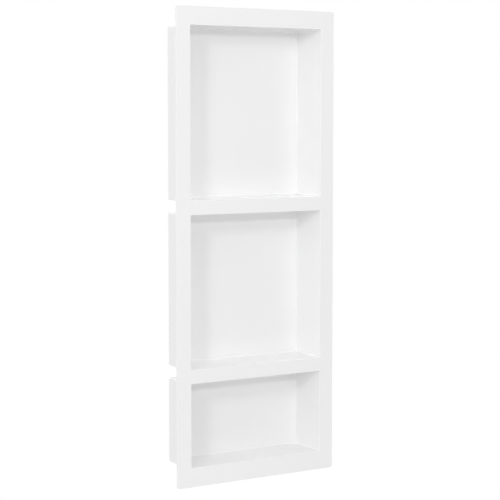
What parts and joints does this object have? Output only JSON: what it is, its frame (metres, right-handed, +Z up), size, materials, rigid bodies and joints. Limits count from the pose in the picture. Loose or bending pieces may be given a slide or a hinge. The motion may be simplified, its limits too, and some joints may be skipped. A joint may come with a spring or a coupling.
{
  "type": "shower niche insert",
  "caption": "Tall recessed shower niche formed from one white acrylic sheet: a flat flange around open-fronted shelf compartments of unequal height.",
  "frame": {"origin": "middle of the flange's rear face, on the plane of the finished wall", "axes": "+X across the width, to the right as seen from the room; +Y back into the wall; +Z up"},
  "size_m": [0.41, 0.096, 1.04],
  "materials": {
    "acrylic": "high gloss white sheet acrylic"
  },
  "bodies": {
    "root": {"niche_shell": "acrylic"}
  },
  "joints": []
}
